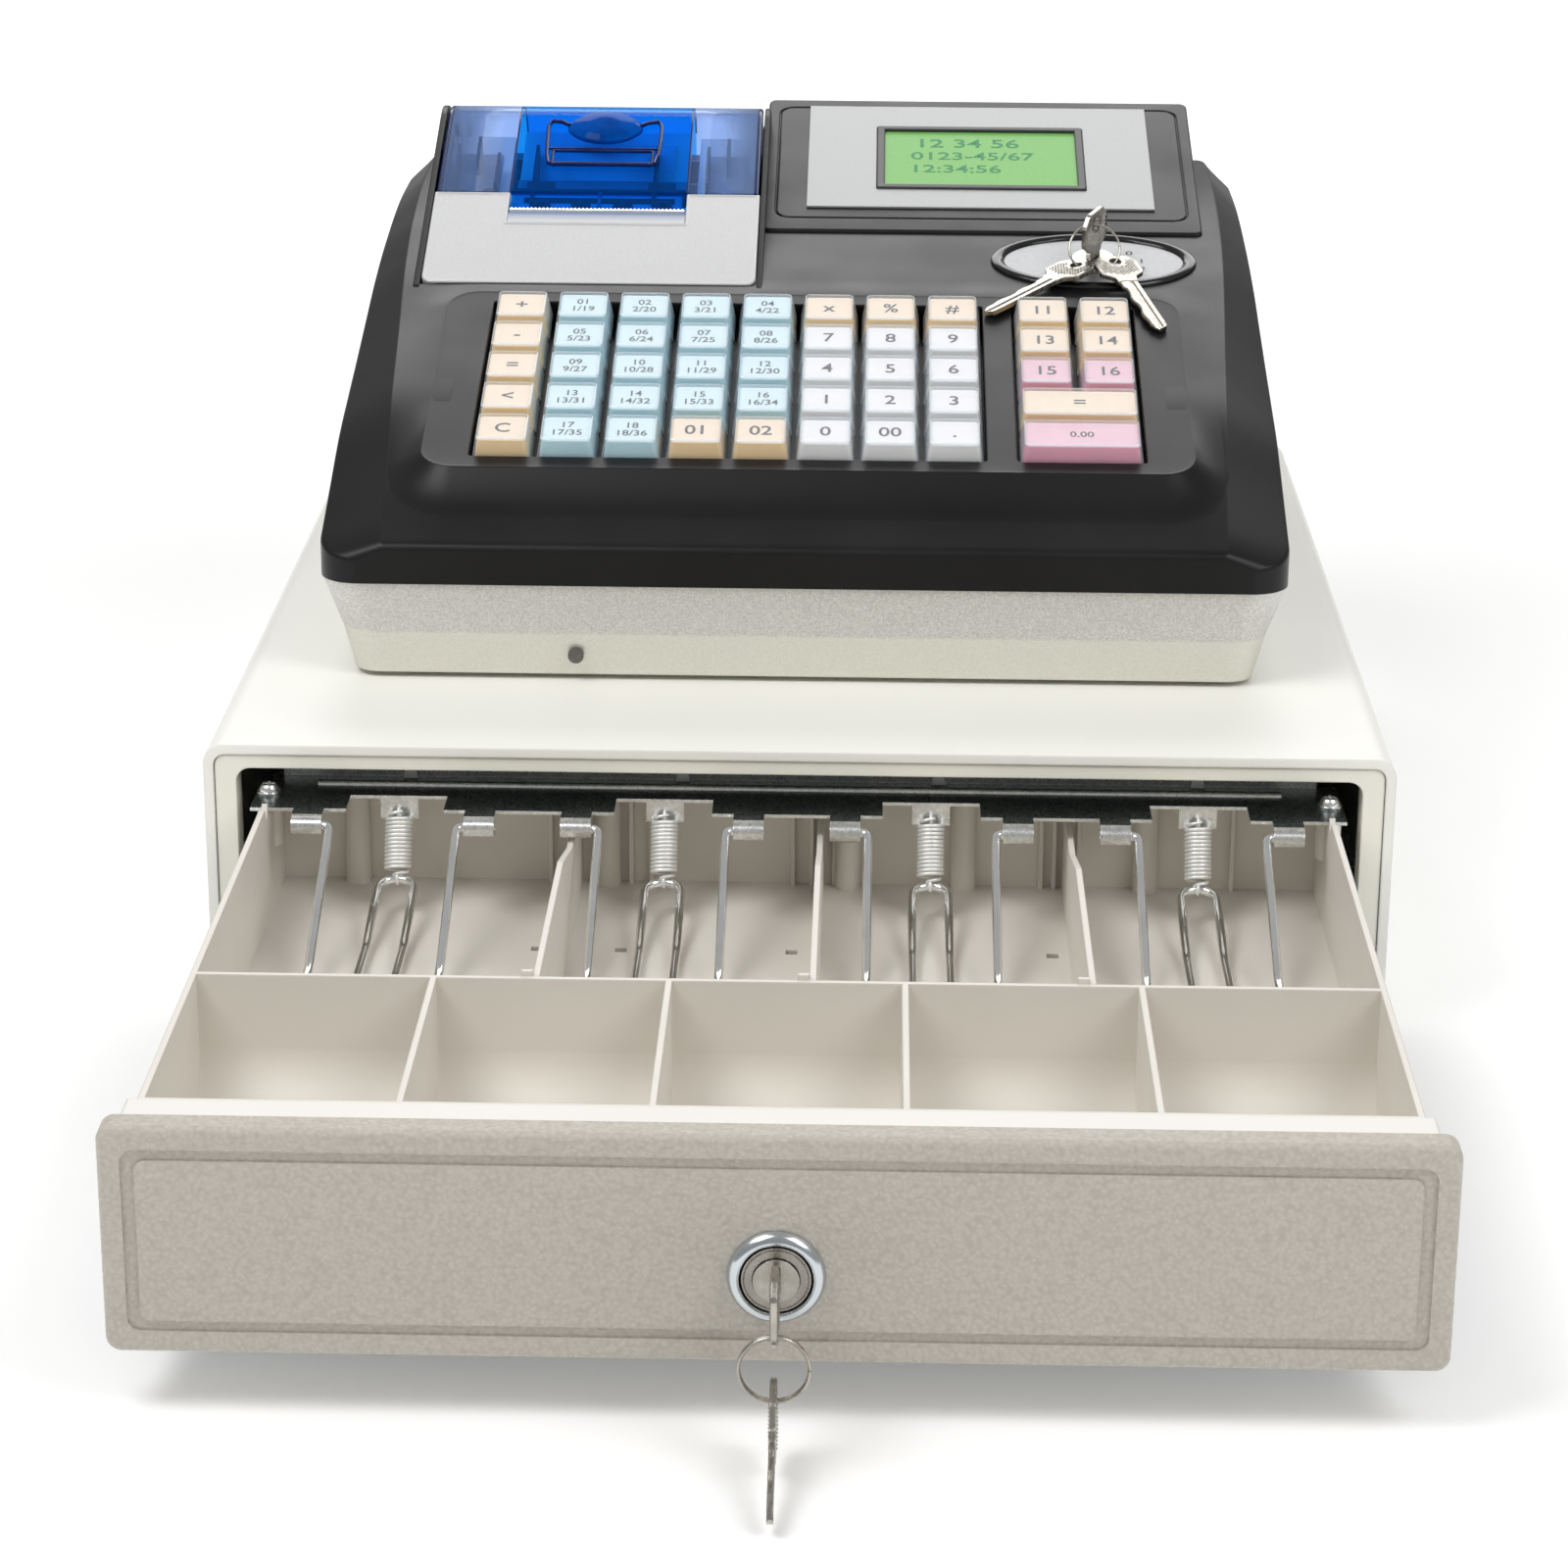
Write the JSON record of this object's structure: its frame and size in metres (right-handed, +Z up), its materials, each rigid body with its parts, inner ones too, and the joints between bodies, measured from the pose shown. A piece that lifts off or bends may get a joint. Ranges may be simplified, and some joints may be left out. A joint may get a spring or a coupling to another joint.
{
  "type": "cash register",
  "caption": "Countertop cash register with keyboard, display and receipt printer on a pull-out cash drawer with coin bins, sprung bill clips and a key lock.",
  "frame": {"origin": "centre of the drawer housing's footprint, at counter level", "axes": "+X to the right of a person at the keyboard, +Y to the back, +Z up; the drawer opens along -Y"},
  "size_m": [0.405, 0.7734, 0.2534],
  "materials": {
    "cream_steel": "satin powder coat",
    "bare_steel": "zinc plated",
    "cream_plastic": "satin moulded",
    "tray_plastic": "satin moulded",
    "panel_plastic": "leather grain",
    "rubber": "matt",
    "chrome": "polished",
    "spring_steel": "bright zinc",
    "key_metal": "nickel plated",
    "silver_plastic": "metallic paint",
    "black_plastic": "fine matt grain",
    "gloss_black": "gloss",
    "board": "circuit board",
    "copper_coil": "wound coil",
    "overlay": "printed film",
    "lcd": "lit display",
    "cover_blue": "clear blue",
    "paper": "uncoated",
    "key_white": "clear cap over white",
    "key_blue": "clear cap over light blue",
    "key_cream": "clear cap over cream",
    "key_pink": "clear cap over pink"
  },
  "bodies": {
    "register": {"housing_shell": "cream_steel", "base_plate": "bare_steel", "front_frame": "cream_plastic", "housing_feet": "rubber", "outer_rails": "bare_steel", "latch_solenoid": "copper_coil", "ejector_spring": "spring_steel", "register_base": "silver_plastic", "register_top": "black_plastic", "base_screws": "bare_steel", "keyboard_frame": "black_plastic", "circuit_boards": "board", "display_overlay": "overlay", "lcd_module": "lcd", "printer_panel": "silver_plastic", "printer_mechanism": "black_plastic", "mode_label": "gloss_black", "mode_barrel": "chrome", "mode_key_set": "key_metal", "rear_ports": "gloss_black"},
    "drawer": {"drawer_carrier": "bare_steel", "inner_rails": "bare_steel", "drawer_tray": "tray_plastic", "bill_dividers": "tray_plastic", "clip_bar": "bare_steel", "clip_bar_screws": "bare_steel", "clip_springs": "spring_steel", "front_backing": "cream_plastic", "front_panel": "panel_plastic", "lock_barrel": "chrome"},
    "lock_plug": {"lock_plug": "key_metal", "drawer_key": "key_metal"},
    "key_ring": {"drawer_key_ring": "key_metal"},
    "spare_key": {"spare_drawer_key": "key_metal"},
    "latch_hook": {"latch_hook": "bare_steel"},
    "mode_plug": {"mode_plug": "key_metal", "mode_key": "key_metal"},
    "printer_cover": {"printer_cover": "cover_blue"},
    "paper_roll": {"paper_roll": "paper"},
    "platen_roller": {"platen_roller": "rubber"},
    "department_keys": {"department_keys": "key_blue"},
    "function_keys": {"function_keys": "key_cream"},
    "total_key": {"total_key": "key_cream"},
    "cash_key": {"cash_key": "key_pink"},
    "bill_clip_1": {"bill_clip_1": "chrome"},
    "bill_clip_2": {"bill_clip_2": "chrome"},
    "bill_clip_3": {"bill_clip_3": "chrome"},
    "bill_clip_4": {"bill_clip_4": "chrome"},
    "key_7": {"key_7": "key_white"},
    "key_8": {"key_8": "key_white"},
    "key_9": {"key_9": "key_white"},
    "key_4": {"key_4": "key_white"},
    "key_5": {"key_5": "key_white"},
    "key_6": {"key_6": "key_white"},
    "key_1": {"key_1": "key_white"},
    "key_2": {"key_2": "key_white"},
    "key_3": {"key_3": "key_white"},
    "key_0": {"key_0": "key_white"},
    "key_00": {"key_00": "key_white"},
    "key_point": {"key_point": "key_white"}
  },
  "joints": [
    {"name": "drawer_slide", "type": "slide", "parent": "register", "child": "drawer", "axis": [0, -1, 0], "range_m": [-0.288, 0]},
    {"name": "bill_clip_1_hinge", "type": "hinge", "parent": "drawer", "child": "bill_clip_1", "pos_m": [-0.136, -0.229, 0.0783], "axis": [-1, 0, 0], "range_deg": [0, 100], "stiffness_Nm_per_rad": 0.03, "springref_deg": -57.3, "deforming": ["clip_springs"]},
    {"name": "bill_clip_2_hinge", "type": "hinge", "parent": "drawer", "child": "bill_clip_2", "pos_m": [-0.0453, -0.229, 0.0783], "axis": [-1, 0, 0], "range_deg": [0, 100], "stiffness_Nm_per_rad": 0.03, "springref_deg": -57.3, "deforming": ["clip_springs"]},
    {"name": "bill_clip_3_hinge", "type": "hinge", "parent": "drawer", "child": "bill_clip_3", "pos_m": [0.0453, -0.229, 0.0783], "axis": [-1, 0, 0], "range_deg": [0, 100], "stiffness_Nm_per_rad": 0.03, "springref_deg": -57.3, "deforming": ["clip_springs"]},
    {"name": "bill_clip_4_hinge", "type": "hinge", "parent": "drawer", "child": "bill_clip_4", "pos_m": [0.136, -0.229, 0.0783], "axis": [-1, 0, 0], "range_deg": [0, 100], "stiffness_Nm_per_rad": 0.03, "springref_deg": -57.3, "deforming": ["clip_springs"]},
    {"name": "drawer_key_turn", "type": "hinge", "parent": "drawer", "child": "lock_plug", "pos_m": [0, -0.498, 0.0455], "axis": [0, 1, 0], "range_deg": [-90, 90]},
    {"name": "key_ring_swing", "type": "hinge", "parent": "lock_plug", "child": "key_ring", "pos_m": [0, -0.5211, 0.0383], "axis": [-1, 0, 0], "range_deg": [0, 45]},
    {"name": "spare_key_swing", "type": "hinge", "parent": "key_ring", "child": "spare_key", "pos_m": [0, -0.5211, 0.0188], "axis": [-1, 0, 0], "range_deg": [0, 60]},
    {"name": "latch_hook_drop", "type": "hinge", "parent": "register", "child": "latch_hook", "pos_m": [0, 0.182, 0.058], "axis": [1, 0, 0], "range_deg": [0, 12], "stiffness_Nm_per_rad": 0.05, "springref_deg": -57.3},
    {"name": "mode_key_turn", "type": "hinge", "parent": "register", "child": "mode_plug", "pos_m": [0.1085, 0.051, 0.2123], "axis": [0, -0.225, 0.9744], "range_deg": [0, 70]},
    {"name": "printer_cover_hinge", "type": "hinge", "parent": "register", "child": "printer_cover", "pos_m": [-0.0865, 0.172, 0.229], "axis": [-1, 0, 0], "range_deg": [0, 75]},
    {"name": "paper_roll_spin", "type": "hinge", "parent": "register", "child": "paper_roll", "pos_m": [-0.086, 0.14, 0.22], "axis": [1, 0, 0], "continuous": true},
    {"name": "platen_spin", "type": "hinge", "parent": "register", "child": "platen_roller", "pos_m": [-0.086, 0.0935, 0.2235], "axis": [1, 0, 0], "continuous": true},
    {"name": "key_7_press", "type": "slide", "parent": "register", "child": "key_7", "axis": [0, 0.2672, -0.9636], "range_m": [0, 0.0035], "stiffness_N_per_m": 170, "springref_m": -0.002},
    {"name": "key_8_press", "type": "slide", "parent": "register", "child": "key_8", "axis": [0, 0.2672, -0.9636], "range_m": [0, 0.0035], "stiffness_N_per_m": 170, "springref_m": -0.002},
    {"name": "key_9_press", "type": "slide", "parent": "register", "child": "key_9", "axis": [0, 0.2672, -0.9636], "range_m": [0, 0.0035], "stiffness_N_per_m": 170, "springref_m": -0.002},
    {"name": "key_4_press", "type": "slide", "parent": "register", "child": "key_4", "axis": [0, 0.2672, -0.9636], "range_m": [0, 0.0035], "stiffness_N_per_m": 170, "springref_m": -0.002},
    {"name": "key_5_press", "type": "slide", "parent": "register", "child": "key_5", "axis": [0, 0.2672, -0.9636], "range_m": [0, 0.0035], "stiffness_N_per_m": 170, "springref_m": -0.002},
    {"name": "key_6_press", "type": "slide", "parent": "register", "child": "key_6", "axis": [0, 0.2672, -0.9636], "range_m": [0, 0.0035], "stiffness_N_per_m": 170, "springref_m": -0.002},
    {"name": "key_1_press", "type": "slide", "parent": "register", "child": "key_1", "axis": [0, 0.2672, -0.9636], "range_m": [0, 0.0035], "stiffness_N_per_m": 170, "springref_m": -0.002},
    {"name": "key_2_press", "type": "slide", "parent": "register", "child": "key_2", "axis": [0, 0.2672, -0.9636], "range_m": [0, 0.0035], "stiffness_N_per_m": 170, "springref_m": -0.002},
    {"name": "key_3_press", "type": "slide", "parent": "register", "child": "key_3", "axis": [0, 0.2672, -0.9636], "range_m": [0, 0.0035], "stiffness_N_per_m": 170, "springref_m": -0.002},
    {"name": "key_0_press", "type": "slide", "parent": "register", "child": "key_0", "axis": [0, 0.2672, -0.9636], "range_m": [0, 0.0035], "stiffness_N_per_m": 170, "springref_m": -0.002},
    {"name": "key_00_press", "type": "slide", "parent": "register", "child": "key_00", "axis": [0, 0.2672, -0.9636], "range_m": [0, 0.0035], "stiffness_N_per_m": 170, "springref_m": -0.002},
    {"name": "key_point_press", "type": "slide", "parent": "register", "child": "key_point", "axis": [0, 0.2672, -0.9636], "range_m": [0, 0.0035], "stiffness_N_per_m": 170, "springref_m": -0.002},
    {"name": "total_key_press", "type": "slide", "parent": "register", "child": "total_key", "axis": [0, 0.2672, -0.9636], "range_m": [0, 0.0035], "stiffness_N_per_m": 340, "springref_m": -0.002},
    {"name": "cash_key_press", "type": "slide", "parent": "register", "child": "cash_key", "axis": [0, 0.2672, -0.9636], "range_m": [0, 0.0035], "stiffness_N_per_m": 340, "springref_m": -0.002},
    {"name": "department_keys_press", "type": "slide", "parent": "register", "child": "department_keys", "axis": [0, 0.2672, -0.9636], "range_m": [0, 0.0035], "stiffness_N_per_m": 3060, "springref_m": -0.002},
    {"name": "function_keys_press", "type": "slide", "parent": "register", "child": "function_keys", "axis": [0, 0.2672, -0.9636], "range_m": [0, 0.0035], "stiffness_N_per_m": 2720, "springref_m": -0.002}
  ]
}
